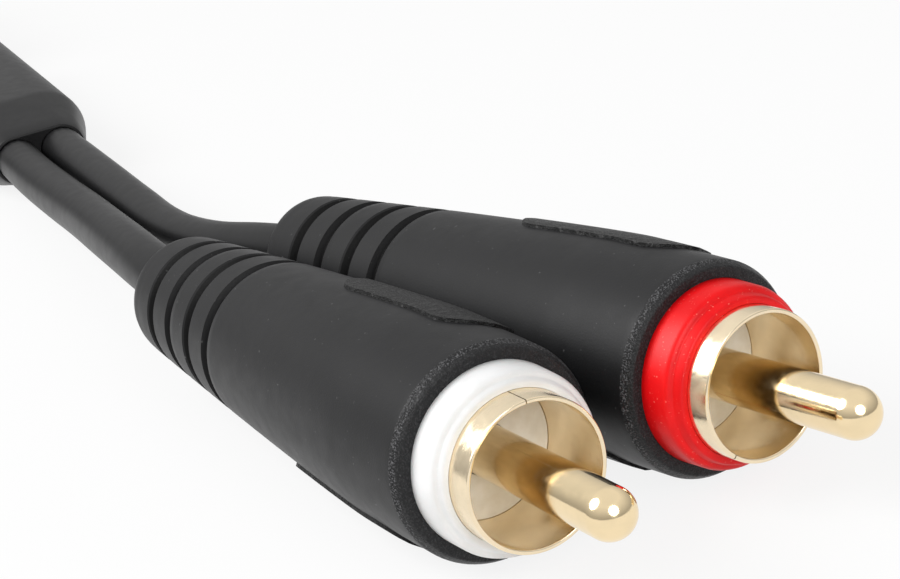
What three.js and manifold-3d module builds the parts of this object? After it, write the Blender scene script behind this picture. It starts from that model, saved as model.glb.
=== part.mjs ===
// Stereo phono cable: two screened leads side by side, a red and a white moulded plug at each end,
// a moulded sleeve where each pair of leads meets, and the spare length folded in a tied hank.
// Millimetres, +Z up. The origin is on the table, below the middle of the near white plug's pads.
import * as THREE from 'three';
import { mergeVertices } from 'three/addons/utils/BufferGeometryUtils.js';
import Module from 'manifold-3d';

const wasm = await Module();
wasm.setup();

// Contact sizes of a phono plug, measured along its axis from the rim of the cup
const pinDiameter = 3.2;
const pinReach = 9;
const pinSides = 12;
const pinTipSteps = 4;
const cupDiameter = 9.4;
const cupWall = 0.3;
const cupDepth = 6;
const cupLength = 11;
const seamGap = 0.14;
const cupSides = 26;
const crimpSides = 10;

// Insulator that holds the pin in the cup
const insulatorLength = 4.6;
const insulatorNeckRadius = 2.5;
const insulatorNeckLength = 3.2;

// Solder cup on the pin's tail
const solderCupRadius = 1.35;
const solderCupLength = 6.5;
const solderCupBore = 0.85;
const solderCupBoreDepth = 3.6;

// Crimp tail of the rolled cup
const crimpWidth = 2.8;
const crimpStart = 21.5;
const crimpLength = 4;
const crimpWall = 0.35;
const crimpOpening = 1.1;
const strapOverlap = 0.3;
const strapBend = 2.5;
const strapLift = 0.1;

// Coloured collar round the cup
const collarFront = 1.6;
const collarRingRadius = 5.1;
const collarStepDepth = 0.55;
const collarEdge = 2.55;
const collarEdgeRadius = 5.72;
const collarBaseRadius = 5.78;
const collarRimWidth = 0.32;
const collarEase = 0.12;
const collarSeat = 1.2;
const collarTailRadius = 5.2;
const collarTail = 4.6;

// Moulded grip
const gripFront = 4.5;
const gripFaceRadius = 6.5;
const gripChamfer = 0.65;
const gripShoulderRadius = 6.86;
const gripMaxRadius = 6.92;
const gripMaxAt = 13;
const gripRearRadius = 4.7;
const gripTaperEnd = 48;
const gripTaperPower = 1.2;
const gripRear = 50.3;
const gripRearRound = 2;
const gripRearInset = 1;
const gripCavityRadius = 3.4;
const gripSides = 18;

// Four grip grooves near the plug's rear
const grooveCount = 4;
const grooveFirst = 34;
const groovePitch = 3.8;
const grooveWidth = 0.9;
const grooveDepth = 0.45;

// Raised pads on two sides of the grip, turned from the top. The lower one's edge is on the table
const padMiddle = 16.5;
const padLength = 16;
const padWidth = 5.6;
const padRaise = 0.22;
const padTurn = Math.PI / 6;
const padRoot = 5.35;
const padReach = 8;
const padSides = 4;
const axisHeight = 7.1;

// Screened lead
const leadDiameter = 4.2;
const jacketWall = 0.5;
const braidThickness = 0.25;
const coreInsulationDiameter = 2.4;
const coreDiameter = 1.1;
const braidStart = 24;
const coreInsulationStart = 20.6;
const leadSides = 10;
const coreSides = 8;

// Moulded sleeves, one near each end, with both leads in their bores
const sleeveLength = 56;
const sleeveWidth = 13;
const sleeveHeight = 8.6;
const sleeveTaper = 4;
const sleeveTaperInset = 1.5;
const sleeveSides = 12;
const sleeveEaseSteps = 2;
const boreSides = 12;

// Hank of the spare length: long narrow turns of the pair, side by side, in three layers
const leadPitch = 4.5;
const layerPitch = 4.3;
const hankLayers = 3;
const hankStraight = 37;
const hankTurnRadius = 12.75;
const hankSides = 8;
const tieThickness = 0.6;
const tieWidth = 12;

// Clearances: in a nest of turned pieces, between a lead and its bore, and between separate bodies
const fit = 0.1;
const boreFit = 0.25;
const seat = 0.3;

const pinRadius = pinDiameter / 2;
const cupRadius = cupDiameter / 2;
const cupBore = cupRadius - cupWall;
const leadRadius = leadDiameter / 2;
const jacketBore = leadRadius - jacketWall;
const coreInsulationRadius = coreInsulationDiameter / 2;
const coreRadius = coreDiameter / 2;
const hankBase = tieThickness + seat;
const hankTop = hankBase + leadDiameter + (hankLayers - 1) * layerPitch;
const hankReach = hankTurnRadius + leadRadius;

// Finishes
const blackPlastic = { color: 0x26272a, roughness: 0.6, metalness: 0 };
const blackJacket = { color: 0x1b1c1e, roughness: 0.5, metalness: 0 };
const whitePlastic = { color: 0xeeeeea, roughness: 0.45, metalness: 0 };
const redPlastic = { color: 0xd0111d, roughness: 0.45, metalness: 0 };
const gold = { color: 0xe6c88a, roughness: 0.25, metalness: 1 };
const ivory = { color: 0xe2ddd0, roughness: 0.5, metalness: 0 };
const copper = { color: 0xb87349, roughness: 0.4, metalness: 1 };
const clearWhite = { color: 0xe8e8e4, roughness: 0.5, metalness: 0 };

function bare(geometry) {
  geometry.deleteAttribute('normal');
  geometry.deleteAttribute('uv');
  return mergeVertices(geometry, 1e-5);
}

function toManifold(geometry) {
  const merged = bare(geometry.clone());
  const mesh = new wasm.Mesh({
    numProp: 3,
    vertProperties: Float32Array.from(merged.attributes.position.array),
    triVerts: Uint32Array.from(merged.index.array),
  });
  return new wasm.Manifold(mesh);
}

function fromManifold(solid) {
  const mesh = solid.getMesh();
  const geometry = new THREE.BufferGeometry();
  geometry.setAttribute('position', new THREE.BufferAttribute(mesh.vertProperties, 3));
  geometry.setIndex(new THREE.BufferAttribute(mesh.triVerts, 1));
  return geometry;
}

function named(name, geometry, finish) {
  const mesh = new THREE.Mesh(geometry, new THREE.MeshStandardMaterial(finish));
  mesh.name = name;
  return mesh;
}

// A closed outline of [distance behind the cup's rim, radius] turned about the plug's X axis
function turned(outline, sides) {
  const points = outline.map(([behind, radius]) => new THREE.Vector2(radius, -behind));
  const geometry = bare(new THREE.LatheGeometry([...points, points[0]], sides));
  return geometry.rotateZ(-Math.PI / 2);
}

// A bush or tube: an outline closed by its bore
function tube(from, to, outer, bore, sides) {
  return turned([[to, bore], [to, outer], [from, outer], [from, bore]], sides);
}

// Radius of the grip's crowned barrel
function gripRadius(behind) {
  if (behind < gripMaxAt) {
    const share = (gripMaxAt - behind) / (gripMaxAt - gripFront - gripChamfer);
    return gripMaxRadius - (gripMaxRadius - gripShoulderRadius) * share ** 2;
  }
  const share = (behind - gripMaxAt) / (gripTaperEnd - gripMaxAt);
  return gripMaxRadius - (gripMaxRadius - gripRearRadius) * share ** gripTaperPower;
}

function grooveOutline(middle) {
  const front = middle - grooveWidth / 2;
  const rear = middle + grooveWidth / 2;
  return [
    [rear, gripRadius(rear)],
    [rear - grooveDepth / 2, gripRadius(middle) - grooveDepth],
    [front + grooveDepth / 2, gripRadius(middle) - grooveDepth],
    [front, gripRadius(front)],
  ];
}

// The grip's outer outline from its rear end to its front face
function gripOutline() {
  const points = [[gripRear, leadRadius + fit]];
  const roundSteps = 2;
  for (let step = 0; step <= roundSteps; step += 1) {
    const angle = (step / roundSteps) * (Math.PI / 2);
    const behind = gripTaperEnd + gripRearRound * Math.cos(angle);
    points.push([behind, gripRearRadius - gripRearInset * (1 - Math.sin(angle))]);
  }
  for (let groove = grooveCount - 1; groove >= 0; groove -= 1) {
    points.push(...grooveOutline(grooveFirst + groove * groovePitch));
  }
  const barrelSteps = 2;
  const barrelStart = grooveFirst - groovePitch;
  for (let step = 0; step <= barrelSteps; step += 1) {
    const behind = barrelStart + (gripMaxAt - barrelStart) * (step / barrelSteps);
    points.push([behind, gripRadius(behind)]);
  }
  points.push([gripFront + gripChamfer, gripShoulderRadius]);
  points.push([gripFront, gripFaceRadius]);
  return points;
}

// The sockets inside the grip, from its front face to its rear bore
function gripBoreOutline() {
  const seatEnd = gripFront + collarSeat + fit;
  const tailEnd = gripFront + collarTail + fit;
  const cavityEnd = crimpStart + crimpLength + seat;
  return [
    [gripFront, collarBaseRadius + fit],
    [seatEnd, collarBaseRadius + fit],
    [seatEnd, collarTailRadius + fit],
    [tailEnd, collarTailRadius + fit],
    [tailEnd, cupRadius + fit],
    [crimpStart - seat, cupRadius + fit],
    [cavityEnd, gripCavityRadius],
    [cavityEnd, leadRadius + fit],
  ];
}

// A round-ended bar that reaches out through the barrel, on the turned pads' upper or lower side
function padBar(side) {
  const straight = (padLength - padWidth) / 2;
  const shape = new THREE.Shape();
  shape.absarc(straight, 0, padWidth / 2, -Math.PI / 2, Math.PI / 2);
  shape.absarc(-straight, 0, padWidth / 2, Math.PI / 2, 1.5 * Math.PI);
  const geometry = new THREE.ExtrudeGeometry(shape, {
    depth: padReach - padRoot, bevelEnabled: false, curveSegments: padSides,
  });
  geometry.translate(-padMiddle, 0, padRoot);
  return geometry.rotateX(side > 0 ? -padTurn : Math.PI - padTurn);
}

// The barrel's surface raised by the pads' height, over the pads' length
function crestSolid() {
  const front = padMiddle - padLength / 2 - seat;
  const rear = padMiddle + padLength / 2 + seat;
  const stations = [rear, (rear + gripMaxAt) / 2, gripMaxAt, front];
  const crest = stations.map((behind) => [behind, gripRadius(behind) + padRaise]);
  return turned([[rear, padRoot], ...crest, [front, padRoot]], gripSides);
}

function gripSolid() {
  const barrel = turned([...gripOutline(), ...gripBoreOutline()], gripSides);
  const bars = toManifold(padBar(1)).add(toManifold(padBar(-1)));
  const pads = bars.intersect(toManifold(crestSolid()));
  return fromManifold(toManifold(barrel).add(pads));
}

function collarSolid() {
  const bore = cupRadius + fit;
  const face = collarFront + collarStepDepth;
  return turned([
    [gripFront + collarTail, bore],
    [gripFront + collarTail, collarTailRadius],
    [gripFront + collarSeat, collarTailRadius],
    [gripFront + collarSeat, collarBaseRadius],
    [gripFront, collarBaseRadius],
    [collarEdge, collarEdgeRadius],
    [face, collarEdgeRadius - collarRimWidth],
    [face, collarRingRadius + collarEase],
    [collarFront + collarEase, collarRingRadius],
    [collarFront, collarRingRadius - collarEase],
    [collarFront, bore],
  ], gripSides);
}

// An open ring, as a strip rolled round until its edges nearly meet, drawn square to its axis
function rolledRing(outer, wall, opening, steps) {
  const half = opening / 2 / outer;
  const shape = new THREE.Shape();
  for (let step = 0; step <= steps; step += 1) {
    const angle = half + (2 * Math.PI - 2 * half) * (step / steps);
    const point = [outer * Math.cos(angle), outer * Math.sin(angle)];
    if (step === 0) shape.moveTo(...point);
    else shape.lineTo(...point);
  }
  for (let step = steps; step >= 0; step -= 1) {
    const angle = half + (2 * Math.PI - 2 * half) * (step / steps);
    shape.lineTo((outer - wall) * Math.cos(angle), (outer - wall) * Math.sin(angle));
  }
  return shape;
}

// A section drawn square to the plug's axis, drawn out along it, its X side turned by an angle
function drawnAlong(shape, from, to, turn) {
  const geometry = new THREE.ExtrudeGeometry(shape, { depth: to - from, bevelEnabled: false });
  return geometry.rotateZ(turn).rotateY(Math.PI / 2).translate(-to, 0, 0);
}

// The strap under the lead, from the cup's rear edge up to the crimp, drawn from the side
function strapSolid() {
  const crimpOuter = leadRadius + fit + crimpWall;
  const crimpInner = leadRadius + fit + strapLift;
  const crimpEnd = crimpStart + crimpLength;
  const strapReach = Math.sqrt(cupRadius ** 2 - (crimpWidth / 2) ** 2);
  const cupEnd = cupLength - strapOverlap;
  const bendAt = cupLength + strapBend;
  const side = [
    [cupEnd, strapReach], [bendAt, strapReach], [crimpStart, crimpOuter], [crimpEnd, crimpOuter],
    [crimpEnd, crimpInner], [crimpStart, crimpInner],
    [bendAt, strapReach - crimpWall], [cupEnd, strapReach - crimpWall],
  ];
  const shape = new THREE.Shape(side.map(([behind, drop]) => new THREE.Vector2(-behind, drop)));
  const geometry = new THREE.ExtrudeGeometry(shape, { depth: crimpWidth, bevelEnabled: false });
  return geometry.rotateX(-Math.PI / 2).translate(0, -crimpWidth / 2, 0);
}

function cupSolid(seamTurn) {
  const cup = drawnAlong(rolledRing(cupRadius, cupWall, seamGap, cupSides), 0, cupLength, seamTurn);
  const crimpShape = rolledRing(leadRadius + fit + crimpWall, crimpWall, crimpOpening, crimpSides);
  const crimp = drawnAlong(crimpShape, crimpStart, crimpStart + crimpLength, Math.PI);
  const strap = toManifold(strapSolid());
  return fromManifold(toManifold(cup).add(strap).add(toManifold(crimp)));
}

function insulatorSolid() {
  const rear = cupDepth + insulatorLength;
  const bore = pinRadius + fit;
  return turned([
    [rear + insulatorNeckLength, bore],
    [rear + insulatorNeckLength, insulatorNeckRadius],
    [rear, insulatorNeckRadius],
    [rear, cupBore - fit],
    [cupDepth, cupBore - fit],
    [cupDepth, bore],
  ], gripSides);
}

function pinSolid() {
  const rodEnd = cupDepth + insulatorLength + insulatorNeckLength + fit;
  const cupEnd = rodEnd + solderCupLength;
  const outline = [
    [cupEnd - solderCupBoreDepth, 0],
    [cupEnd - solderCupBoreDepth, solderCupBore],
    [cupEnd, solderCupBore],
    [cupEnd, solderCupRadius],
    [rodEnd, solderCupRadius],
    [rodEnd, pinRadius],
  ];
  for (let step = 0; step <= pinTipSteps; step += 1) {
    const angle = (step / pinTipSteps) * (Math.PI / 2);
    const radius = step === pinTipSteps ? 0 : pinRadius * Math.cos(angle);
    outline.push([-(pinReach - pinRadius) - pinRadius * Math.sin(angle), radius]);
  }
  return turned(outline, pinSides);
}

// One plug, its cup's rim at the group's origin and its pin towards +X
function plug(prefix, collarFinish, seamTurn) {
  const group = new THREE.Group();
  const wireFront = cupDepth + insulatorLength + insulatorNeckLength + solderCupLength
    - solderCupBoreDepth + seat;
  group.add(named(`${prefix}_grip`, gripSolid(), blackPlastic));
  group.add(named(`${prefix}_collar`, collarSolid(), collarFinish));
  group.add(named(`${prefix}_shell`, cupSolid(seamTurn), gold));
  group.add(named(`${prefix}_insulator`, insulatorSolid(), ivory));
  group.add(named(`${prefix}_pin`, pinSolid(), gold));
  group.add(named(`${prefix}_jacket_end`,
    tube(crimpStart, gripRear, leadRadius, jacketBore, leadSides), blackJacket));
  group.add(named(`${prefix}_shield_braid`,
    tube(braidStart, gripRear, jacketBore - fit, jacketBore - braidThickness, leadSides), copper));
  group.add(named(`${prefix}_core_insulation`,
    tube(coreInsulationStart, gripRear, coreInsulationRadius, coreRadius + fit, leadSides),
    clearWhite));
  group.add(named(`${prefix}_core_wire`,
    turned([[gripRear, 0], [gripRear, coreRadius], [wireFront, coreRadius], [wireFront, 0]],
      coreSides), copper));
  return group;
}

function placedPlug(prefix, finish, seamTurn, rim, heading) {
  const group = plug(prefix, finish, seamTurn);
  group.position.set(rim[0], rim[1], axisHeight);
  group.rotation.z = heading;
  return group;
}

function sleeveSolid() {
  const width = sleeveWidth - 2 * sleeveTaperInset;
  const height = sleeveHeight - 2 * sleeveTaperInset;
  const straight = (width - height) / 2;
  const shape = new THREE.Shape();
  shape.absarc(straight, 0, height / 2, -Math.PI / 2, Math.PI / 2);
  shape.absarc(-straight, 0, height / 2, Math.PI / 2, 1.5 * Math.PI);
  const geometry = new THREE.ExtrudeGeometry(shape, {
    depth: sleeveLength - 2 * sleeveTaper, bevelEnabled: true, bevelThickness: sleeveTaper,
    bevelSize: sleeveTaperInset, bevelSegments: sleeveEaseSteps, curveSegments: sleeveSides / 2,
  });
  geometry.translate(0, 0, -sleeveLength + sleeveTaper);
  let solid = toManifold(geometry);
  const boreRadius = leadRadius + boreFit;
  for (const side of [-1, 1]) {
    const bore = new THREE.CylinderGeometry(boreRadius, boreRadius, sleeveLength + 2 * seat, boreSides);
    bore.rotateX(Math.PI / 2).translate(side * leadPitch / 2, 0, -sleeveLength / 2);
    solid = solid.subtract(toManifold(bore));
  }
  const body = fromManifold(solid);
  return body.rotateX(Math.PI / 2).rotateZ(Math.PI / 2);
}

// A sleeve with the middle of its front end at a point, running back against its heading
function placedSleeve(name, front, heading) {
  const mesh = named(name, sleeveSolid(), blackJacket);
  mesh.position.set(front[0], front[1], sleeveHeight / 2);
  mesh.rotation.z = heading;
  return mesh;
}

// A lead's stretch along hand-chosen points
function leadSolid(points, steps) {
  const places = points.map((point) => new THREE.Vector3(...point));
  const curve = new THREE.CatmullRomCurve3(places, false, 'centripetal');
  const shape = new THREE.Shape();
  for (let side = 0; side < leadSides; side += 1) {
    const angle = (side / leadSides) * 2 * Math.PI;
    const point = [leadRadius * Math.cos(angle), leadRadius * Math.sin(angle)];
    if (side === 0) shape.moveTo(...point);
    else shape.lineTo(...point);
  }
  return new THREE.ExtrudeGeometry(shape, { extrudePath: curve, steps, bevelEnabled: false });
}

// A long loop with round ends, drawn flat about its middle
function loopPath(Kind, radius) {
  const path = new Kind();
  path.absarc(hankStraight / 2, 0, radius, -Math.PI / 2, Math.PI / 2);
  path.absarc(-hankStraight / 2, 0, radius, Math.PI / 2, 1.5 * Math.PI);
  return path;
}

// The hank's outer shape: a long ring with eased corners
function hankSolid() {
  const ease = leadRadius / 2;
  const shape = loopPath(THREE.Shape, hankReach - ease);
  shape.holes.push(loopPath(THREE.Path, hankTurnRadius - leadPitch - leadRadius + ease));
  return new THREE.ExtrudeGeometry(shape, {
    depth: hankTop - hankBase - 2 * ease, bevelEnabled: true, bevelThickness: ease, bevelSize: ease,
    bevelSegments: 1, curveSegments: hankSides,
  }).translate(0, 0, hankBase + ease);
}

// A flat strap closed round the hank's middle, drawn square to the hank
function tieSolid() {
  const frame = (reach, floor, ceiling) => [
    new THREE.Vector2(-reach, floor), new THREE.Vector2(reach, floor),
    new THREE.Vector2(reach, ceiling), new THREE.Vector2(-reach, ceiling),
  ];
  const inner = hankReach + seat;
  const ceiling = hankTop + seat;
  const shape = new THREE.Shape(frame(inner + tieThickness, 0, ceiling + tieThickness));
  shape.holes.push(new THREE.Path(frame(inner, tieThickness, ceiling)));
  const geometry = new THREE.ExtrudeGeometry(shape, { depth: tieWidth, bevelEnabled: false });
  return geometry.rotateY(Math.PI / 2).rotateX(Math.PI / 2).translate(-tieWidth / 2, 0, 0);
}

// Where the pieces lie
const nearWhiteRim = [padMiddle, 0];
const nearRedRim = [17.45, 15.56];
const nearRedHeading = 0.1078;
const nearSleeveFront = [-93, 10.5];
const nearSleeveHeading = -0.1478;
const hankCentre = [-187, 8.85];
const farSleeveFront = [-299, 12];
const farWhiteRim = [-384.5, 16.65];
const farRedRim = [-384.5, 1.05];
const farSplay = 0.054;
const whiteSeamTurn = 3.1;
const redSeamTurn = 5.53;
const sleeveLine = sleeveHeight / 2;

// Routes of the leads outside the hank, from plug to hank, chosen by hand
const nearWhiteRoute = [
  [-34.1, 0, axisHeight], [-41, 0.4, 6.6], [-49, 1.4, 5.6], [-58, 3, 4.8], [-67, 4.7, 4.4],
  [-77, 6.2, sleeveLine], [-88, 7.5, sleeveLine], [-93.3, 8.32, sleeveLine],
  [-149.3, 16.68, sleeveLine], [-151.8, 17, 4.15], [-154.2, 17.15, 3.9],
];
const nearRedRoute = [
  [-32.85, 10.12, axisHeight], [-40, 9.36, 6.6], [-49, 8.6, 5.6], [-58, 8.9, 4.8], [-67, 9.9, 4.4],
  [-77, 11.1, sleeveLine], [-88, 12.1, sleeveLine], [-92.7, 12.77, sleeveLine],
  [-150.5, 21.37, sleeveLine], [-153, 21.65, 4.1], [-157.2, 21.8, 3.6],
];
const farWhiteRoute = [
  [-333.97, 13.92, axisHeight], [-327, 13.65, 6.6], [-319, 13.65, 5.6], [-310, 13.95, 4.7],
  [-303, 14.2, sleeveLine], [-299, 14.25, sleeveLine], [-243, 14.25, sleeveLine],
  [-238, 14.32, 4.5], [-233, 15.04, 5.58], [-228, 16.3, 7.22], [-223, 17.85, 9.03],
  [-219.8, 18.87, 10.09],
];
const farRedRoute = [
  [-333.97, 3.78, axisHeight], [-327, 4.5, 6.6], [-319, 6.1, 5.6], [-310, 8.3, 4.7],
  [-303, 9.6, sleeveLine], [-299, 9.75, sleeveLine], [-243, 9.75, sleeveLine],
  [-238, 9.82, 4.5], [-233, 10.54, 5.58], [-228, 11.8, 7.22], [-223, 13.35, 9.03],
  [-221, 13.99, 9.71],
];

const group = new THREE.Group();
group.add(placedPlug('white', whitePlastic, whiteSeamTurn, nearWhiteRim, 0));
group.add(placedPlug('red', redPlastic, redSeamTurn, nearRedRim, nearRedHeading));
group.add(placedPlug('far_white', whitePlastic, whiteSeamTurn, farWhiteRim,
  Math.PI - farSplay));
group.add(placedPlug('far_red', redPlastic, redSeamTurn, farRedRim, farSplay - Math.PI));
group.add(placedSleeve('near_sleeve', nearSleeveFront, nearSleeveHeading));
group.add(placedSleeve('far_sleeve', farSleeveFront, Math.PI));
group.add(named('white_lead', leadSolid(nearWhiteRoute, 20), blackJacket));
group.add(named('red_lead', leadSolid(nearRedRoute, 20), blackJacket));
group.add(named('far_white_lead', leadSolid(farWhiteRoute, 18), blackJacket));
group.add(named('far_red_lead', leadSolid(farRedRoute, 18), blackJacket));

const hank = named('lead_hank', hankSolid(), blackJacket);
hank.position.set(hankCentre[0], hankCentre[1], 0);
group.add(hank);

const tie = named('hank_tie', tieSolid(), blackPlastic);
tie.position.set(hankCentre[0], hankCentre[1], 0);
group.add(tie);

export default group;
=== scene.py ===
"""Stereo phono cable: red and white plugs on two screened leads, with the spare length in a tied hank."""
import math

import bmesh
import bpy
from mathutils import Matrix, Vector


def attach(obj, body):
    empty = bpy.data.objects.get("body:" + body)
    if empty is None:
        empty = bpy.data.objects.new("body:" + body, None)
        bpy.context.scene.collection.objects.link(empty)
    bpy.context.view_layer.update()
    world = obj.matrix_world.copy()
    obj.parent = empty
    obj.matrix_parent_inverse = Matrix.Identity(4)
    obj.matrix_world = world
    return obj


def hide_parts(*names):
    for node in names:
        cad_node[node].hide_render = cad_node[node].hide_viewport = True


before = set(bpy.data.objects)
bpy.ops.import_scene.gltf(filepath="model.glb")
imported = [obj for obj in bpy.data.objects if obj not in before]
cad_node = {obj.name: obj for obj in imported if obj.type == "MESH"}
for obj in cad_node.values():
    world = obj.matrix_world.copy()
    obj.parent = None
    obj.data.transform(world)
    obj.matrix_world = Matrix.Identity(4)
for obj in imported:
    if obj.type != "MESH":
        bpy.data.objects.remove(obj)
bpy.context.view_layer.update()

# The view: the plugs are seen from their pin side, from a little above the table, with a long lens.
# The camera is turned a few degrees about its own axis, so that the leads run to the upper left.
camera_lens = bpy.data.cameras.new("camera")
camera_lens.sensor_fit = "HORIZONTAL"
camera_lens.sensor_width = 36
camera_lens.lens = 96
camera_lens.clip_start = 0.005
camera_lens.clip_end = 20
camera = bpy.data.objects.new("camera", camera_lens)
bpy.context.collection.objects.link(camera)
camera_right = Vector((0.4915086727, 0.8497488913, -0.1906463910))
camera_down = Vector((0.2043192757, -0.3253219209, -0.9232655530))
camera_ahead = Vector((-0.8465653302, 0.4148402939, -0.3335186236))
camera_turn = Matrix((camera_right, -camera_down, -camera_ahead)).transposed().to_4x4()
camera.matrix_world = Matrix.Translation((0.127364, -0.057394, 0.063349)) @ camera_turn
bpy.context.scene.camera = camera
bpy.context.scene.view_settings.view_transform = "Standard"

# The table: a plain pale sheet that the cable lies on. It looks white to the camera and in the gilt,
# and still takes the soft shadow of what lies on it.
mm = 0.001


def paint(red, green, blue):
    """A colour as it is seen on a screen, from 0 to 255, as the shader wants it."""
    shares = (red / 255, green / 255, blue / 255)
    return tuple(s / 12.92 if s <= 0.04045 else ((s + 0.055) / 1.055) ** 2.4 for s in shares) + (1,)


floor_size = 6.0
floor_white_share = 0.86
floor_mesh = bmesh.new()
bmesh.ops.create_grid(floor_mesh, x_segments=1, y_segments=1, size=floor_size / 2)
bmesh.ops.translate(floor_mesh, verts=floor_mesh.verts, vec=(0, 0, -0.02 * mm))
floor_data = bpy.data.meshes.new("table_top")
floor_mesh.to_mesh(floor_data)
floor_mesh.free()
floor = bpy.data.objects.new("table_top", floor_data)
bpy.context.collection.objects.link(floor)

floor_finish = bpy.data.materials.new("pale table")
floor_finish.use_nodes = True
floor_tree = floor_finish.node_tree
floor_tree.nodes.clear()
floor_out = floor_tree.nodes.new("ShaderNodeOutputMaterial")
floor_sheet = floor_tree.nodes.new("ShaderNodeBsdfDiffuse")
floor_sheet.inputs["Color"].default_value = paint(238, 238, 238)
floor_glow = floor_tree.nodes.new("ShaderNodeEmission")
floor_glow.inputs["Color"].default_value = (1, 1, 1, 1)
floor_glow.inputs["Strength"].default_value = 1.0
floor_ray = floor_tree.nodes.new("ShaderNodeLightPath")
floor_seen = floor_tree.nodes.new("ShaderNodeMath")
floor_seen.operation = "MAXIMUM"
floor_tree.links.new(floor_ray.outputs["Is Camera Ray"], floor_seen.inputs[0])
floor_tree.links.new(floor_ray.outputs["Is Glossy Ray"], floor_seen.inputs[1])
floor_share = floor_tree.nodes.new("ShaderNodeMath")
floor_share.operation = "MULTIPLY"
floor_share.inputs[1].default_value = floor_white_share
floor_tree.links.new(floor_seen.outputs["Value"], floor_share.inputs[0])
floor_mix = floor_tree.nodes.new("ShaderNodeMixShader")
floor_tree.links.new(floor_share.outputs["Value"], floor_mix.inputs["Fac"])
floor_tree.links.new(floor_sheet.outputs["BSDF"], floor_mix.inputs[1])
floor_tree.links.new(floor_glow.outputs["Emission"], floor_mix.inputs[2])
floor_tree.links.new(floor_mix.outputs["Shader"], floor_out.inputs["Surface"])
floor_data.materials.append(floor_finish)

# The room: even soft light all round, brighter overhead in the gilt, and white behind the object,
# with one large lamp beside and above the leads, and one on the pin side that shines into the cups.
room = bpy.data.worlds.new("room")
bpy.context.scene.world = room
room.use_nodes = True
room_tree = room.node_tree
room_tree.nodes.clear()
room_out = room_tree.nodes.new("ShaderNodeOutputWorld")
room_light = room_tree.nodes.new("ShaderNodeBackground")
room_light.inputs["Color"].default_value = (1, 1, 1, 1)
room_side = room_tree.nodes.new("ShaderNodeTexCoord")
room_height = room_tree.nodes.new("ShaderNodeSeparateXYZ")
room_tree.links.new(room_side.outputs["Generated"], room_height.inputs["Vector"])
room_walls = room_tree.nodes.new("ShaderNodeMapRange")
room_walls.inputs["From Min"].default_value = 0.02
room_walls.inputs["From Max"].default_value = 0.75
room_walls.inputs["To Min"].default_value = 0.10
room_walls.inputs["To Max"].default_value = 0.62
room_tree.links.new(room_height.outputs["Z"], room_walls.inputs["Value"])
room_gloss = room_tree.nodes.new("ShaderNodeMath")
room_gloss.operation = "MULTIPLY_ADD"
room_gloss.inputs[2].default_value = 0.30
room_tree.links.new(room_walls.outputs["Result"], room_gloss.inputs[1])
room_white = room_tree.nodes.new("ShaderNodeBackground")
room_white.inputs["Color"].default_value = (1, 1, 1, 1)
room_white.inputs["Strength"].default_value = 1.0
room_ray = room_tree.nodes.new("ShaderNodeLightPath")
room_mix = room_tree.nodes.new("ShaderNodeMixShader")
room_tree.links.new(room_ray.outputs["Is Glossy Ray"], room_gloss.inputs[0])
room_tree.links.new(room_gloss.outputs["Value"], room_light.inputs["Strength"])
room_tree.links.new(room_ray.outputs["Is Camera Ray"], room_mix.inputs["Fac"])
room_tree.links.new(room_light.outputs["Background"], room_mix.inputs[1])
room_tree.links.new(room_white.outputs["Background"], room_mix.inputs[2])
room_tree.links.new(room_mix.outputs["Shader"], room_out.inputs["Surface"])


def hang_lamp(name, place, target, size, power):
    """A round soft lamp that faces a point on the table."""
    data = bpy.data.lights.new(name, "AREA")
    data.shape = "DISK"
    data.size = size
    data.energy = power
    lamp = bpy.data.objects.new(name, data)
    bpy.context.collection.objects.link(lamp)
    facing = (Vector(target) - Vector(place)).to_track_quat("-Z", "Y").to_matrix().to_4x4()
    lamp.matrix_world = Matrix.Translation(place) @ facing


hang_lamp("lamp_beside", (-0.22, -0.40, 0.45), (-0.02, 0.0, 0.0), 0.45, 3.6)
hang_lamp("lamp_pin_side", (0.46, -0.06, 0.26), (0.0, 0.0, 0.0), 0.36, 1.5)

# Pins: turned brass rods with a round tip, gilded and polished, pressed into the insulators.
# The tail behind the insulator is a small cup that the lead's core is soldered in.
pin_radius = 1.6
pin_reach = 9.0
insulator_front = 6.0
insulator_length = 4.6
neck_length = 3.2
tail_radius = 1.35
tail_bore_radius = 0.85
tail_length = 6.5
tail_bore_depth = 3.6
tail_start = insulator_front + insulator_length + neck_length + 0.1
tail_end = tail_start + tail_length
tail_bore_end = tail_end - tail_bore_depth
# Where the four plugs lie: the middle of each cup's rim along and across the table, and the heading.
# Each lies on the edge of its lower pad, so every axis is at the same height.
plug_places = {
    "white": (16.5, 0.0, 0.0),
    "red": (17.45, 15.56, 0.1078),
    "far_white": (-384.5, 16.65, math.pi - 0.054),
    "far_red": (-384.5, 1.05, 0.054 - math.pi),
}
axis_height = 7.1


def turned(outline, steps, closed=True):
    """A piece turned on a lathe: [mm behind the cup's rim, radius] points spun about the plug's axis."""
    bm = bmesh.new()
    corners = [bm.verts.new((-behind, 0, radius)) for behind, radius in outline]
    pairs = list(zip(corners, corners[1:] + corners[:1] if closed else corners[1:]))
    edges = [bm.edges.new(pair) for pair in pairs]
    bmesh.ops.spin(bm, geom=corners + edges, cent=(0, 0, 0), axis=(1, 0, 0), dvec=(0, 0, 0),
                   angle=2 * math.pi, steps=steps, use_merge=True, use_duplicate=False)
    bmesh.ops.remove_doubles(bm, verts=bm.verts, dist=1e-5)
    bmesh.ops.recalc_face_normals(bm, faces=bm.faces)
    return bm


def mesh_of(bm, name):
    """Takes a bmesh over into a mesh, smooth except at its sharp corners."""
    mesh = bpy.data.meshes.new(name)
    bm.to_mesh(mesh)
    bm.free()
    for face in mesh.polygons:
        face.use_smooth = True
    mesh.set_sharp_from_angle(angle=math.radians(38))
    return mesh


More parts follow.
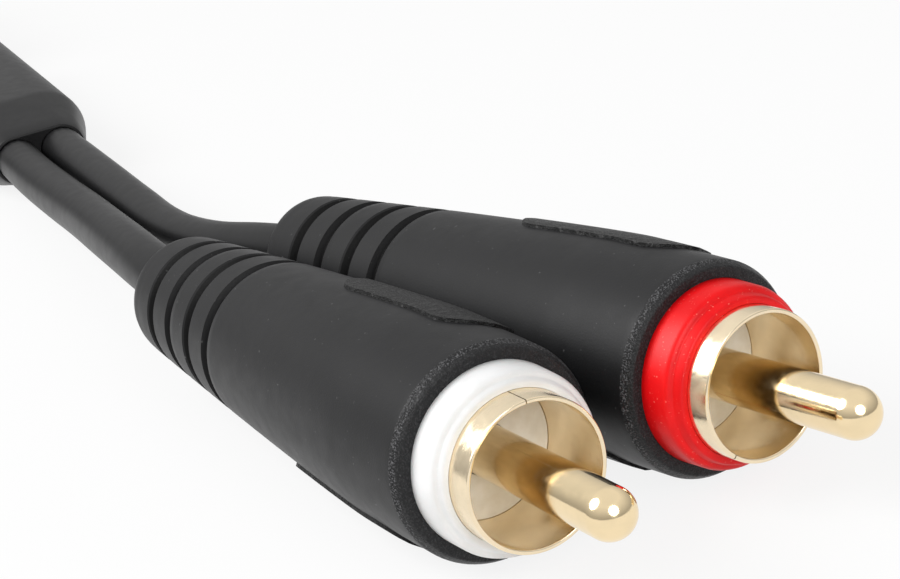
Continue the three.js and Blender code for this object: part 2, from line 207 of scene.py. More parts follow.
def lay_piece(mesh, name, finish, stands_for):
    """Makes a finished mesh a piece of the cable, in place of one CAD node."""
    mesh.name = name
    mesh.materials.clear()
    mesh.materials.append(finish)
    piece = bpy.data.objects.new(name, mesh)
    bpy.context.collection.objects.link(piece)
    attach(piece, "root")
    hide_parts(stands_for)


def lay_on_plug(mesh, plug, part, finish):
    """Puts a copy of a mesh made about the plug's axis, in mm, on one of the four plugs."""
    along, across, heading = plug_places[plug]
    place = Matrix.Translation((along * mm, across * mm, axis_height * mm))
    copy = mesh.copy()
    copy.transform(place @ Matrix.Rotation(heading, 4, "Z") @ Matrix.Scale(mm, 4))
    lay_piece(copy, f"{plug}_{part}_dressed", finish, f"{plug}_{part}")


def start_finish(name, colour, roughness, metallic=0.0):
    """A new material with its shader's plain values set."""
    finish = bpy.data.materials.new(name)
    finish.use_nodes = True
    shader = finish.node_tree.nodes["Principled BSDF"]
    shader.inputs["Base Color"].default_value = colour
    shader.inputs["Roughness"].default_value = roughness
    shader.inputs["Metallic"].default_value = metallic
    finish.diffuse_color = colour
    return finish, finish.node_tree, shader


def grain(tree, size, detail, shift=0.0):
    """Soft noise whose blots are about this many mm across, fixed to the piece."""
    where = tree.nodes.new("ShaderNodeTexCoord")
    mapping = tree.nodes.new("ShaderNodeMapping")
    mapping.inputs["Location"].default_value = (shift, shift, shift)
    tree.links.new(where.outputs["Object"], mapping.inputs["Vector"])
    texture = tree.nodes.new("ShaderNodeTexNoise")
    texture.inputs["Scale"].default_value = 1 / (size * mm)
    texture.inputs["Detail"].default_value = detail
    tree.links.new(mapping.outputs["Vector"], texture.inputs["Vector"])
    return texture.outputs["Fac"]


def ramp(tree, factor, stops):
    """A colour ramp: [place, colour] stops, the colour a tuple or a grey from 0 to 1."""
    node = tree.nodes.new("ShaderNodeValToRGB")
    bar = node.color_ramp
    while len(bar.elements) < len(stops):
        bar.elements.new(0.5)
    for element, (spot, colour) in zip(bar.elements, stops):
        element.position = spot
        element.color = colour if isinstance(colour, tuple) else (colour, colour, colour, 1)
    tree.links.new(factor, node.inputs["Fac"])
    return node.outputs["Color"]


def emboss(tree, shader, height, depth, strength, under=None):
    """Raises the surface by a pattern, depth in mm. Returns the bump, so that another can lie on it."""
    bump = tree.nodes.new("ShaderNodeBump")
    bump.inputs["Strength"].default_value = strength
    bump.inputs["Distance"].default_value = depth * mm
    tree.links.new(height, bump.inputs["Height"])
    if under is not None:
        tree.links.new(under, bump.inputs["Normal"])
    tree.links.new(bump.outputs["Normal"], shader.inputs["Normal"])
    return bump.outputs["Normal"]


def make_gilt(name, colour, roughness):
    """Gilding: pale yellow, with a faint fine grain, uneven polish and a little grime."""
    finish, tree, shader = start_finish(name, colour, roughness, metallic=1.0)
    cloud = grain(tree, 1.6, 3.0)
    darker = tuple(c * 0.92 for c in colour[:3]) + (1,)
    tree.links.new(ramp(tree, cloud, ((0.38, colour), (0.75, darker))), shader.inputs["Base Color"])
    wear_and_painted_highlight = grain(tree, 0.5, 4.0, shift=0.3)
    tree.links.new(ramp(tree, wear_and_painted_highlight, ((0.35, roughness * 0.8), (0.7, roughness * 1.5))),
                   shader.inputs["Roughness"])
    emboss(tree, shader, grain(tree, 0.22, 2.0, shift=0.7), 0.004, 0.5)
    return finish


pin_gilt = make_gilt("polished gilding", paint(245, 223, 182), 0.11)
pin_outline = [
    (tail_bore_end, 0.0), (tail_bore_end, tail_bore_radius), (tail_end, tail_bore_radius),
    (tail_end, tail_radius), (tail_start, tail_radius), (tail_start, pin_radius),
]
tip_steps = 12
for step in range(tip_steps + 1):
    angle = step / tip_steps * math.pi / 2
    height = pin_radius * math.cos(angle) if step < tip_steps else 0.0
    pin_outline.append((-(pin_reach - pin_radius) - pin_radius * math.sin(angle), height))
pin_shape = turned(pin_outline, 64, closed=False)
pin_mesh = mesh_of(pin_shape, "pin")
for plug in plug_places:
    lay_on_plug(pin_mesh, plug, "pin", pin_gilt)

# Insulators: discs of ivory plastic moulded with a neck, pushed into the cup from behind.
# The front face has the dull, slightly uneven look of a small moulding.
cup_radius = 4.7
cup_wall = 0.3
insulator_radius = cup_radius - cup_wall - 0.02
neck_radius = 2.5


def ease_rings(bm, rings, width, segments):
    """Rounds the ring edges that lie at these [mm behind the rim, radius] places."""
    chosen = []
    for edge in bm.edges:
        spots = [(-v.co.x, math.hypot(v.co.y, v.co.z)) for v in edge.verts]
        for behind, radius in rings:
            if all(abs(b - behind) < 1e-3 and abs(r - radius) < 1e-3 for b, r in spots):
                chosen.append(edge)
    bmesh.ops.bevel(bm, geom=chosen, offset=width, offset_type="OFFSET", affect="EDGES",
                    segments=segments, profile=0.5, material=-1)


ivory, ivory_tree, ivory_shader = start_finish("ivory insulator", paint(236, 232, 222), 0.5)
ivory_tone = ramp(ivory_tree, grain(ivory_tree, 1.1, 3.0),
                  ((0.35, paint(230, 225, 212)), (0.7, paint(242, 239, 230))))
ivory_tree.links.new(ivory_tone, ivory_shader.inputs["Base Color"])
ivory_shader.inputs["Subsurface Weight"].default_value = 0.15
ivory_shader.inputs["Subsurface Radius"].default_value = (0.0012, 0.001, 0.0008)
emboss(ivory_tree, ivory_shader, grain(ivory_tree, 0.3, 2.0), 0.01, 0.4)
insulator_rear = insulator_front + insulator_length
insulator_shape = turned([
    (insulator_rear + neck_length, pin_radius + 0.05), (insulator_rear + neck_length, neck_radius),
    (insulator_rear, neck_radius), (insulator_rear, insulator_radius),
    (insulator_front, insulator_radius), (insulator_front, pin_radius + 0.05),
], 64)
ease_rings(insulator_shape, ((insulator_front, insulator_radius), (insulator_rear, insulator_radius)),
           0.05, 2)
insulator_mesh = mesh_of(insulator_shape, "insulator")
for plug in plug_places:
    lay_on_plug(insulator_mesh, plug, "insulator", ivory)

# Cups: strips of gilded brass rolled round until their edges meet, so each has a butt seam.
# A strap runs back from the cup's rear edge to the crimp that is closed round the lead.
cup_length = 11.0
seam_gap = 0.07
seam_turns = {"white": 3.1, "red": 5.53}
strap_width = 2.8
strap_wall = 0.35
crimp_start = 21.5
crimp_length = 4.0
crimp_radius = 2.55
crimp_opening = 1.1
strap_overlap = 0.3
strap_bend = 2.5
strap_low = 2.3
lead_radius = 2.1
gilt = make_gilt("pale gilding", paint(246, 228, 196), 0.16)


def rolled_strip(outer, wall, start, end, opening, turn, steps):
    """A strip rolled into a ring with an open joint."""
    bm = bmesh.new()
    inner = outer - wall
    half = opening / 2 / outer
    corners = [bm.verts.new((-b, 0, -r)) for b, r in
               ((start, inner), (start, outer), (end, outer), (end, inner))]
    face = bm.faces.new(corners)
    bmesh.ops.rotate(bm, verts=corners, cent=(0, 0, 0), matrix=Matrix.Rotation(turn + half, 3, "X"))
    bmesh.ops.spin(bm, geom=corners + list(face.edges) + [face], cent=(0, 0, 0), axis=(1, 0, 0),
                   dvec=(0, 0, 0), angle=2 * math.pi - 2 * half, steps=steps, use_merge=False,
                   use_duplicate=False)
    bmesh.ops.recalc_face_normals(bm, faces=bm.faces)
    return bm


def cup_shape(seam_turn):
    """The cup, its strap and its crimp as one stamping."""
    bm = rolled_strip(cup_radius, cup_wall, 0.0, cup_length, seam_gap, seam_turn, 96)
    rims = [e for e in bm.edges if all(abs(v.co.x) < 1e-4 for v in e.verts)
            and abs(math.hypot(*e.verts[0].co.yz) - math.hypot(*e.verts[1].co.yz)) < 1e-4]
    bmesh.ops.bevel(bm, geom=rims, offset=0.1, offset_type="OFFSET", affect="EDGES", segments=3,
                    profile=0.5, material=-1)
    crimp = rolled_strip(crimp_radius, strap_wall, crimp_start, crimp_start + crimp_length,
                         crimp_opening, math.pi, 40)
    crimp_mesh = bpy.data.meshes.new("crimp")
    crimp.to_mesh(crimp_mesh)
    crimp.free()
    bm.from_mesh(crimp_mesh)
    bpy.data.meshes.remove(crimp_mesh)
    reach = math.sqrt(cup_radius ** 2 - (strap_width / 2) ** 2)
    front = cup_length - strap_overlap
    bend = cup_length + strap_bend
    rear = crimp_start + crimp_length
    side = ((front, reach), (bend, reach), (crimp_start, crimp_radius), (rear, crimp_radius),
            (rear, strap_low), (crimp_start, strap_low), (bend, reach - strap_wall),
            (front, reach - strap_wall))
    profile = bm.faces.new([bm.verts.new((-b, -strap_width / 2, -r)) for b, r in side])
    drawn = bmesh.ops.extrude_face_region(bm, geom=[profile])
    moved = [g for g in drawn["geom"] if isinstance(g, bmesh.types.BMVert)]
    bmesh.ops.translate(bm, verts=moved, vec=(0, strap_width, 0))
    bmesh.ops.recalc_face_normals(bm, faces=bm.faces)
    return bm


for plug in plug_places:
    cup_mesh = mesh_of(cup_shape(seam_turns[plug.replace("far_", "")]), "cup")
    lay_on_plug(cup_mesh, plug, "shell", gilt)

# Collars: rings of coloured plastic moulded round the cups, white for left and red for right.
# Each has a raised inner lip round the cup, a shallow valley and a rounded outer edge.
# The white one is pushed on a little less far than the red one.
collar_rear = 9.1
lip_fronts = {"white": 2.0, "red": 1.65}


def collar_shape(lip):
    """One collar, whose inner lip starts this far behind the cup's rim."""
    return turned([
        (collar_rear, cup_radius + 0.02), (collar_rear, 5.2), (5.7, 5.2), (5.7, 5.78), (4.5, 5.78),
        (2.75, 5.74), (2.5, 5.65), (2.38, 5.52), (2.33, 5.38), (2.3, 5.3), (2.24, 5.26),
        (lip + 0.12, 5.18), (lip + 0.03, 5.1), (lip, 4.98), (lip, cup_radius + 0.02),
    ], 96)


def blend_colours(tree, share, first, second):
    """Mixes two colours, each a socket or a tuple, by a share that is a socket."""
    node = tree.nodes.new("ShaderNodeMix")
    node.data_type = "RGBA"
    tree.links.new(share, node.inputs["Factor"])
    for value, socket in ((first, node.inputs[6]), (second, node.inputs[7])):
        if isinstance(value, tuple):
            socket.default_value = value
        else:
            tree.links.new(value, socket)
    return node.outputs[2]


def make_collar_finish(name, low, high, speckle, amount):
    """Satin moulded plastic with faint flow marks and a fine pale speckle."""
    finish, tree, shader = start_finish(name, high, 0.42)
    shader.inputs["Specular IOR Level"].default_value = 0.3
    tone = ramp(tree, grain(tree, 2.4, 3.0), ((0.35, low), (0.68, high)))
    dots = ramp(tree, grain(tree, 0.16, 1.0, shift=0.2), ((0.70, 0.0), (0.78, amount)))
    tree.links.new(blend_colours(tree, dots, tone, speckle), shader.inputs["Base Color"])
    shader.inputs["Subsurface Weight"].default_value = 0.12
    shader.inputs["Subsurface Radius"].default_value = (0.0012, 0.0008, 0.0008)
    emboss(tree, shader, grain(tree, 0.3, 3.0), 0.008, 0.5)
    return finish


collar_finishes = {
    "white": make_collar_finish("white collar", paint(226, 226, 225), paint(236, 236, 236),
                                paint(255, 255, 255), 0.3),
    "red": make_collar_finish("red collar", paint(220, 0, 8), paint(238, 6, 12),
                              paint(252, 160, 146), 0.45),
}
for plug in plug_places:
    colour = plug.replace("far_", "")
    collar_mesh = mesh_of(collar_shape(lip_fronts[colour]), "collar")
    lay_on_plug(collar_mesh, plug, "collar", collar_finishes[colour])

# Grips: black plastic barrels moulded over the collar, crimp and lead, crowned and then tapering
# to the rear, with four grooves for the fingers. Two raised pads stand turned from top and bottom.
grip_front = 4.5
grip_face_radius = 6.5
grip_chamfer = 0.65
grip_shoulder = 6.86
grip_max = 6.92
grip_max_at = 13.0
grip_rear_radius = 4.7
grip_taper_end = 48.0
grip_rear = 50.3
groove_places = (34.0, 37.8, 41.6, 45.4)
groove_half = 0.55
groove_depth = 0.8
groove_step = 0.11
barrel_step = 0.6
pad_middle = 16.5
pad_length = 16.0
pad_width = 5.6
pad_raise = 0.22
pad_root = 5.35
pad_turn = math.pi / 6


def barrel_radius(behind):
    """Radius of the crowned barrel at a distance behind the cup's rim."""
    if behind < grip_max_at:
        share = (grip_max_at - behind) / (grip_max_at - grip_front - grip_chamfer)
        return grip_max - (grip_max - grip_shoulder) * share ** 2
    share = (behind - grip_max_at) / (grip_taper_end - grip_max_at)
    return grip_max - (grip_max - grip_rear_radius) * share ** 1.2


def groove_drop(behind):
    """How far a finger groove lowers the barrel there, with softly rounded edges."""
    away = min(abs(behind - place) for place in groove_places)
    if away >= groove_half:
        return 0.0
    return groove_depth * (1 - (away / groove_half) ** 4)


barrel_outline = [(grip_front, 5.8), (grip_front, grip_face_radius)]
mid_chamfer = 0.45
barrel_outline.append((grip_front + grip_chamfer * mid_chamfer,
                       grip_face_radius + (grip_shoulder - grip_face_radius) * mid_chamfer))
barrel_outline.append((grip_front + grip_chamfer, grip_shoulder))
behind = grip_front + grip_chamfer
while behind < grip_taper_end - 0.2:
    near_groove = min(abs(behind - place) for place in groove_places) < groove_half + 0.12
    behind += groove_step if near_groove else barrel_step
    barrel_outline.append((behind, barrel_radius(behind) - groove_drop(behind)))
for step in range(9):
    angle = step / 8 * math.pi / 2
    barrel_outline.append((grip_taper_end + 0.3 + 2.0 * math.sin(angle),
                           grip_rear_radius - 0.05 - 1.0 * (1 - math.cos(angle))))
# The hollow inside: the lead's bore, the room for the crimp and the strap, and the collar's seat
barrel_outline += [(grip_rear, lead_radius + 0.05), (25.8, lead_radius + 0.05), (25.8, 3.4),
                   (21.2, 4.8), (9.2, 4.8), (9.2, 5.3), (5.8, 5.3), (5.8, 5.8)]
grip_barrel = turned(barrel_outline, 96)
ease_rings(grip_barrel, ((grip_front, grip_face_radius), (grip_front + grip_chamfer, grip_shoulder)),
           0.09, 3)


def pad_shape():
    """Both pads: round-ended bars that reach from inside the barrel to just above it."""
    bm = bmesh.new()
    rings = 12
    for side in (1, -1):
        made = bmesh.ops.create_grid(bm, x_segments=36, y_segments=rings, size=0.5)["verts"]
        for v in made:
            along = v.co.x * pad_length
            end = max(abs(along) - (pad_length - pad_width) / 2, 0) / (pad_width / 2)
            across = v.co.y * pad_width * math.sqrt(max(1 - end ** 2, 0.0004))
            out = barrel_radius(pad_middle - along) + pad_raise
            v.co = Vector((along - pad_middle, across, side * math.sqrt(out ** 2 - across ** 2)))
        drawn = bmesh.ops.extrude_face_region(bm, geom=list({f for v in made for f in v.link_faces}))
        for v in drawn["geom"]:
            if isinstance(v, bmesh.types.BMVert):
                v.co.z = side * pad_root
    bmesh.ops.rotate(bm, verts=bm.verts, cent=(0, 0, 0), matrix=Matrix.Rotation(-pad_turn, 3, "X"))
    bmesh.ops.recalc_face_normals(bm, faces=bm.faces)
    return bm


def combined(body_shape, other_shape, operation, name):
    """One closed mesh of two shapes that run into each other: their union, or the first less the other."""
    halves = []
    for shape, label in ((body_shape, "body"), (other_shape, "other")):
        data = bpy.data.meshes.new(label)
        shape.to_mesh(data)
        shape.free()
        half = bpy.data.objects.new(label, data)
        bpy.context.collection.objects.link(half)
        halves.append(half)
    joint = halves[0].modifiers.new("joint", "BOOLEAN")
    joint.operation = operation
    joint.solver = "EXACT"
    joint.object = halves[1]
    ready = halves[0].evaluated_get(bpy.context.evaluated_depsgraph_get())
    mesh = bpy.data.meshes.new_from_object(ready)
    mesh.name = name
    for half in halves:
        bpy.data.meshes.remove(half.data)
    for face in mesh.polygons:
        face.use_smooth = True
    mesh.set_sharp_from_angle(angle=math.radians(30))
    return mesh


grip_mesh = combined(grip_barrel, pad_shape(), "UNION", "grip")
# Marks for the finish: how coarse a face is, how much painted highlight it carries, and painted shade in
# the grooves and on the pads
pad_stipple = 2.4
front_stipple = 1.0
highlight_from = 6.7
faint_highlight = 0.2
shaded_groove = 0.3
stipple = grip_mesh.attributes.new("stipple", "FLOAT", "FACE")
wear_and_painted_highlight = grip_mesh.attributes.new("wear_and_painted_highlight", "FLOAT", "FACE")
painted_shade = grip_mesh.attributes.new("painted_shade", "FLOAT", "FACE")
for face in grip_mesh.polygons:
    x, y, z = face.center
    radius = math.hypot(y, z)
    on_front = -x < grip_front + grip_chamfer + 0.2 and radius > 5.9
    on_edge = on_front and radius > highlight_from
    on_pad = abs(x + pad_middle) < pad_length / 2 + 0.02 and radius > barrel_radius(-x) + 0.02
    stipple.data[face.index].value = pad_stipple if on_pad else front_stipple if on_front else 0.0
    # Painted highlight: full on the outer front edge, faint on the rest of the front and on the pads
    wear_and_painted_highlight.data[face.index].value = 1.0 if on_edge else faint_highlight if on_front or on_pad else 0.0
    # Painted shade: faces deep in a finger groove, and the pads, are darkened in the colour
    in_groove = grip_front < -x < grip_taper_end and groove_drop(-x) > shaded_groove and radius > 4.0
    painted_shade.data[face.index].value = 1.0 if on_pad or in_groove else 0.0


def joined_values(tree, operation, first, second):
    """Arithmetic on two patterns."""
    node = tree.nodes.new("ShaderNodeMath")
    node.operation = operation
    tree.links.new(first, node.inputs[0])
    tree.links.new(second, node.inputs[1])
    return node.outputs["Value"]


def marked(tree, name):
    """How much of this mark each face of the piece carries."""
    node = tree.nodes.new("ShaderNodeAttribute")
    node.attribute_name = name
    return node.outputs["Fac"]


def make_grip_finish():
    """Matt charcoal plastic: fine grain, a few dust specks, coarser stipple where the mould was etched,
    painted shade in the grooves and on the pads, and painted highlight crumbs along the front edge.
    """
    finish, tree, shader = start_finish("charcoal grip", paint(25, 25, 26), 0.44)
    shader.inputs["Specular IOR Level"].default_value = 0.24
    tone = ramp(tree, grain(tree, 5.0, 4.0), ((0.3, paint(23, 23, 24)), (0.7, paint(27, 27, 28))))
    dust = ramp(tree, grain(tree, 0.35, 1.0, shift=0.4), ((0.75, 0.0), (0.79, 0.25)))
    # Painted shade: grooves and pads are blended towards near-black in the base colour
    shade = blend_colours(tree, marked(tree, "painted_shade"), tone, paint(13, 13, 13))
    dusty = blend_colours(tree, dust, shade, paint(130, 130, 130))
    fine_crumbs = grain(tree, 0.11, 2.0, shift=0.6)
    crumbs = joined_values(tree, "MAXIMUM", fine_crumbs, grain(tree, 0.45, 2.0, shift=0.8))
    # Painted highlight: pale crumbs along the front edge stand in for the edge's highlight line
    highlight_share = joined_values(tree, "MULTIPLY", ramp(tree, fine_crumbs, ((0.5, 0.0), (0.66, 0.6))),
                           marked(tree, "wear_and_painted_highlight"))
    tree.links.new(blend_colours(tree, highlight_share, dusty, paint(116, 116, 118)),
                   shader.inputs["Base Color"])
    tree.links.new(ramp(tree, grain(tree, 1.3, 4.0, shift=0.1), ((0.3, 0.42), (0.7, 0.48))),
                   shader.inputs["Roughness"])
    fine = emboss(tree, shader, grain(tree, 0.13, 2.0), 0.012, 0.6)
    coarse = joined_values(tree, "MULTIPLY", crumbs, marked(tree, "stipple"))
    emboss(tree, shader, coarse, 0.12, 1.0, under=fine)
    return finish


charcoal = make_grip_finish()
for plug in plug_places:
    lay_on_plug(grip_mesh, plug, "grip", charcoal)

# Inside the grips, out of sight: the lead's jacket end, its screen of copper strands,
# the white core insulation and the stranded core. Their turned CAD shapes are right as they are.
jacket_rubber, jacket_tree, jacket_shader = start_finish("satin jacket", paint(19, 19, 20), 0.38)
jacket_shader.inputs["Specular IOR Level"].default_value = 0.24
jacket_tone = ramp(jacket_tree, grain(jacket_tree, 3.5, 3.0),
                   ((0.3, paint(17, 17, 18)), (0.7, paint(21, 21, 22))))
jacket_tree.links.new(jacket_tone, jacket_shader.inputs["Base Color"])
jacket_tree.links.new(ramp(jacket_tree, grain(jacket_tree, 1.2, 3.0, shift=0.5),
                           ((0.3, 0.36), (0.7, 0.41))), jacket_shader.inputs["Roughness"])
jacket_fine = emboss(jacket_tree, jacket_shader, grain(jacket_tree, 0.16, 2.0), 0.005, 0.4)
emboss(jacket_tree, jacket_shader, grain(jacket_tree, 7.0, 1.0, shift=0.9), 0.02, 0.3, under=jacket_fine)

copper, copper_tree, copper_shader = start_finish("bare copper", paint(196, 122, 84), 0.35, metallic=1.0)
strands = copper_tree.nodes.new("ShaderNodeTexWave")
strands.inputs["Scale"].default_value = 900
strands.inputs["Distortion"].default_value = 1.5
copper_where = copper_tree.nodes.new("ShaderNodeTexCoord")
copper_tree.links.new(copper_where.outputs["Object"], strands.inputs["Vector"])
copper_tree.links.new(ramp(copper_tree, strands.outputs["Fac"],
                           ((0.2, paint(150, 84, 52)), (0.8, paint(206, 134, 96)))),
                      copper_shader.inputs["Base Color"])
emboss(copper_tree, copper_shader, strands.outputs["Fac"], 0.05, 0.8)

core_white, core_tree, core_shader = start_finish("core insulation", paint(228, 228, 224), 0.45)
core_tree.links.new(ramp(core_tree, grain(core_tree, 1.5, 3.0),
                         ((0.3, paint(218, 218, 212)), (0.7, paint(236, 236, 232)))),
                    core_shader.inputs["Base Color"])
inner_finishes = {
    "jacket_end": jacket_rubber,
    "shield_braid": copper,
    "core_insulation": core_white,
    "core_wire": copper,
}
for plug in plug_places:
    for part, finish in inner_finishes.items():
        inner = cad_node[f"{plug}_{part}"]
        inner.data.materials.clear()
        inner.data.materials.append(finish)

# Sleeves: oval black mouldings that hold the two leads side by side, one near each end.
# The front is a long straight taper with a soft shoulder, and the rear is blunter.
sleeve_length = 56.0
sleeve_width = 13.0
sleeve_height = 8.6
sleeve_places = {
    "near_sleeve": (-93.0, 10.5, -0.1478),
    "far_sleeve": (-299.0, 12.0, math.pi),
}
lead_pitch = 4.5
# [mm behind the place above, mm that the section is drawn in]
sleeve_stations = (
    (3.0, 3.4), (3.0, 2.05), (3.1, 1.88), (3.5, 1.72), (5.2, 1.34), (7.8, 0.78), (10.0, 0.28),
    (10.7, 0.13), (11.2, 0.04), (12.0, 0.0), (49.5, 0.0), (50.8, 0.04), (51.7, 0.18), (52.4, 0.42),
    (53.8, 0.95), (55.5, 1.52), (55.88, 1.76), (56.0, 2.0), (56.0, 3.4),
)


def sleeve_shape():
    """The moulding, made about its own axis, its body towards -X."""
    bm = bmesh.new()
    rings = []
    for behind_front, inset in sleeve_stations:
        ring = bmesh.ops.create_circle(bm, cap_ends=False, segments=48,
                                       radius=sleeve_height / 2 - inset)["verts"]
        for v in ring:
            side = 0 if abs(v.co.x) < 1e-4 else math.copysign(1, v.co.x)
            wide = v.co.x + side * (sleeve_width - sleeve_height) / 2
            v.co = Vector((-behind_front, wide, v.co.y))
        own = set(ring)
        rings.append([e for e in bm.edges if own.issuperset(e.verts)])
    for front, rear in zip(rings, rings[1:]):
        bmesh.ops.bridge_loops(bm, edges=front + rear)
    for end in (rings[0], rings[-1]):
        bmesh.ops.contextual_create(bm, geom=end)
    bmesh.ops.recalc_face_normals(bm, faces=bm.faces)
    return bm


def bores_shape():
    """The two holes that the leads lie in."""
    bm = bmesh.new()
    for side in (1, -1):
        made = bmesh.ops.create_cone(bm, cap_ends=True, segments=48, radius1=lead_radius + 0.03,
                                     radius2=lead_radius + 0.03, depth=sleeve_length + 2)["verts"]
        bmesh.ops.rotate(bm, verts=made, cent=(0, 0, 0), matrix=Matrix.Rotation(math.pi / 2, 3, "Y"))
        bmesh.ops.translate(bm, verts=made, vec=(-sleeve_length / 2, side * lead_pitch / 2, 0))
    return bm


sleeve_mesh = combined(sleeve_shape(), bores_shape(), "DIFFERENCE", "sleeve")
for name, (along, across, heading) in sleeve_places.items():
    place = Matrix.Translation((along * mm, across * mm, sleeve_height / 2 * mm))
    copy = sleeve_mesh.copy()
    copy.transform(place @ Matrix.Rotation(heading, 4, "Z") @ Matrix.Scale(mm, 4))
    lay_piece(copy, f"{name}_dressed", jacket_rubber, name)

# Hank tie: a flat strap of black hook-and-loop tape, wrapped once round the middle of the hank
# and pressed onto itself. It is fuzzy outside.
hank_centre = (-187.0, 8.85)
hank_base = 0.9
layer_pitch = 4.3
hank_straight = 37.0
hank_turn_radius = 12.75
tie_width = 12.0
tie_thickness = 0.6
tie_seat = 0.3
tie_corner = 2.2
tie_reach = hank_turn_radius + lead_radius + tie_seat + tie_thickness
tie_top = hank_base + 2 * lead_radius + 2 * layer_pitch + tie_seat + tie_thickness
tie_shape = bmesh.new()
tie_cube = bmesh.ops.create_cube(tie_shape, size=1.0)["verts"]
bmesh.ops.scale(tie_shape, verts=tie_cube, vec=(tie_width, 2 * tie_reach, tie_top))
bmesh.ops.translate(tie_shape, verts=tie_cube, vec=(0, 0, tie_top / 2))
tie_open = [f for f in tie_shape.faces if abs(f.normal.x) > 0.9]
bmesh.ops.delete(tie_shape, geom=tie_open, context="FACES_ONLY")
tie_corners = [e for e in tie_shape.edges if abs(e.verts[0].co.x - e.verts[1].co.x) > 1]
bmesh.ops.bevel(tie_shape, geom=tie_corners, offset=tie_corner, offset_type="OFFSET", affect="EDGES",
                segments=6, profile=0.5, material=-1)
bmesh.ops.recalc_face_normals(tie_shape, faces=tie_shape.faces)
if sum(f.normal.z for f in tie_shape.faces if f.calc_center_median().z > tie_top - 0.1) < 0:
    bmesh.ops.reverse_faces(tie_shape, faces=tie_shape.faces)
bmesh.ops.solidify(tie_shape, geom=tie_shape.faces, thickness=tie_thickness)
bmesh.ops.recalc_face_normals(tie_shape, faces=tie_shape.faces)
tie_mesh = mesh_of(tie_shape, "tie")
tie_mesh.transform(Matrix.Translation((hank_centre[0] * mm, hank_centre[1] * mm, 0)) @ Matrix.Scale(mm, 4))

tie_fabric, tie_tree, tie_shader = start_finish("hook and loop tape", paint(24, 24, 26), 0.85)
tie_tree.links.new(ramp(tie_tree, grain(tie_tree, 0.5, 4.0),
                        ((0.3, paint(18, 18, 20)), (0.75, paint(44, 44, 46)))),
                   tie_shader.inputs["Base Color"])
tie_shader.inputs["Sheen Weight"].default_value = 0.4
emboss(tie_tree, tie_shader, grain(tie_tree, 0.3, 4.0), 0.25, 1.0)
lay_piece(tie_mesh, "hank_tie_dressed", tie_fabric, "hank_tie")

# Leads: two round screened cables in satin black rubber. Each runs from its near grip down to the
# table, through the near sleeve, twice round the hank and once more along it, and to its far plug.
# They swap sides as they climb to the second layer, and leave the hank on the third.
near_routes = {
    "white": [(-34.1, 0, 7.1), (-41, 0.5, 7.35), (-49, 1.6, 7.05), (-58, 3.1, 6.3), (-67, 4.65, 5.5),
              (-77, 6.05, 4.85), (-88, 7.5, 4.45), (-93.3, 8.32, 4.3), (-107.3, 10.41, 4.3),
              (-121.3, 12.5, 4.3), (-135.3, 14.59, 4.3), (-149.3, 16.68, 4.3), (-151.8, 17, 4.15),
              (-154.2, 17.15, 3.9), (-158.5, 17.13, 3.3), (-163.5, 17.1, 3.0)],
    "red": [(-32.85, 10.12, 7.1), (-40, 9.2, 6.3), (-49, 8.3, 5.1), (-58, 8.5, 4.45), (-67, 9.5, 4.4),
            (-77, 10.75, 4.4), (-88, 12.15, 4.35), (-92.7, 12.77, 4.3), (-107.15, 14.92, 4.3),
            (-121.6, 17.07, 4.3), (-136.05, 19.22, 4.3), (-150.5, 21.37, 4.3), (-153, 21.65, 4.1),
            (-157.2, 21.8, 3.6), (-163, 21.65, 3.05)],
}
far_routes = {
    "white": [(-211, 21.15, 11.5), (-216, 20.1, 11.0), (-219.8, 18.87, 10.09), (-223, 17.85, 9.03),
              (-228, 16.3, 7.22), (-233, 15.04, 5.58), (-238, 14.32, 4.5), (-243, 14.25, 4.3),
              (-257, 14.25, 4.3), (-271, 14.25, 4.3), (-285, 14.25, 4.3), (-299, 14.25, 4.3),
              (-303, 14.2, 4.3), (-310, 13.95, 4.7), (-319, 13.65, 5.6), (-327, 13.65, 6.6),
              (-333.97, 13.92, 7.1)],
    "red": [(-211, 16.9, 11.55), (-216, 15.8, 11.2), (-221, 13.99, 9.71), (-223, 13.35, 9.03),
            (-228, 11.8, 7.22), (-233, 10.54, 5.58), (-238, 9.82, 4.5), (-243, 9.75, 4.3),
            (-257, 9.75, 4.3), (-271, 9.75, 4.3), (-285, 9.75, 4.3), (-299, 9.75, 4.3),
            (-303, 9.6, 4.3), (-310, 8.3, 4.7), (-319, 6.1, 5.6), (-327, 4.5, 6.6),
            (-333.97, 3.78, 7.1)],
}
hank_middle_radius = hank_turn_radius - lead_pitch / 2
half_turn = math.pi * hank_middle_radius
whole_turn = 2 * (hank_straight + half_turn)
hank_step = 5.5
# [mm along the way round the hank at which it starts, mm that it takes]
crossing = (80, 47)
second_climb = (whole_turn + 55, 29)


def eased(share):
    """Goes from 0 to 1 as the share does, slowly at both ends."""
    held = min(max(share, 0), 1)
    return held * held * (3 - 2 * held)


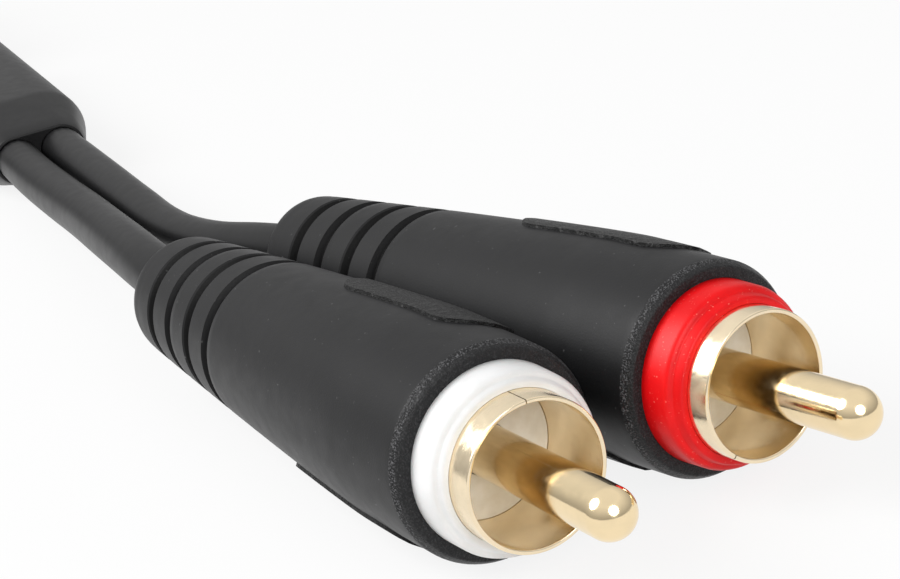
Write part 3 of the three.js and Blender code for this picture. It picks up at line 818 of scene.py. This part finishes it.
def on_loop(gone, radius):
    """The place on the hank's long loop, this many mm along its middle line and this far from its axis."""
    along, across = hank_centre
    gone %= whole_turn
    straight = hank_straight / 2
    if gone < hank_straight:
        return along + straight - gone, across + radius
    if gone < hank_straight + half_turn:
        angle = (gone - hank_straight) / hank_middle_radius
        return along - straight - radius * math.sin(angle), across + radius * math.cos(angle)
    gone -= hank_straight + half_turn
    if gone < hank_straight:
        return along - straight + gone, across - radius
    angle = (gone - hank_straight) / hank_middle_radius
    return along + straight + radius * math.sin(angle), across - radius * math.cos(angle)


def hank_points(colour):
    """One lead's way round the hank: side by side, then over its neighbour, up two layers in all."""
    side = 1 if colour == "red" else -1
    last = 2 * whole_turn + hank_straight
    steps = round(last / hank_step)
    points = []
    for step in range(steps + 1):
        gone = last * step / steps
        crossed = eased((gone - crossing[0]) / crossing[1])
        radius = hank_middle_radius + side * lead_pitch / 2 * math.cos(math.pi * crossed)
        over = math.sin(math.pi * crossed)
        if colour == "white":
            climb = over if crossed < 0.5 else 1
        else:
            climb = 0 if crossed < 0.5 else 1 - over
        climb += eased((gone - second_climb[0]) / second_climb[1])
        points.append((*on_loop(gone, radius), hank_base + lead_radius + layer_pitch * climb))
    return points


stands_for = {
    "white": ("white_lead", "far_white_lead", "lead_hank"),
    "red": ("red_lead", "far_red_lead"),
}
plug_parts = ("grip_dressed", "collar_dressed", "shell_dressed", "insulator_dressed", "pin_dressed",
              "jacket_end", "shield_braid", "core_insulation", "core_wire")
for colour in ("white", "red"):
    points = near_routes[colour] + hank_points(colour) + far_routes[colour]
    line = bpy.data.curves.new(f"{colour}_lead_dressed", "CURVE")
    line.dimensions = "3D"
    line.bevel_depth = lead_radius * mm
    line.bevel_resolution = 7
    line.resolution_u = 6
    line.use_fill_caps = True
    spline = line.splines.new("BEZIER")
    spline.bezier_points.add(len(points) - 1)
    for knot, point in zip(spline.bezier_points, points):
        knot.co = [c * mm for c in point]
        knot.handle_left_type = "AUTO"
        knot.handle_right_type = "AUTO"
    line.materials.append(jacket_rubber)
    lead = bpy.data.objects.new(f"{colour}_lead_dressed", line)
    bpy.context.collection.objects.link(lead)
    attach(lead, "root")
    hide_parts(*stands_for[colour])
    on_lead = [f"far_{colour}_{part}" for part in plug_parts]
    if colour == "white":
        on_lead += ["near_sleeve_dressed", "far_sleeve_dressed", "hank_tie_dressed"]
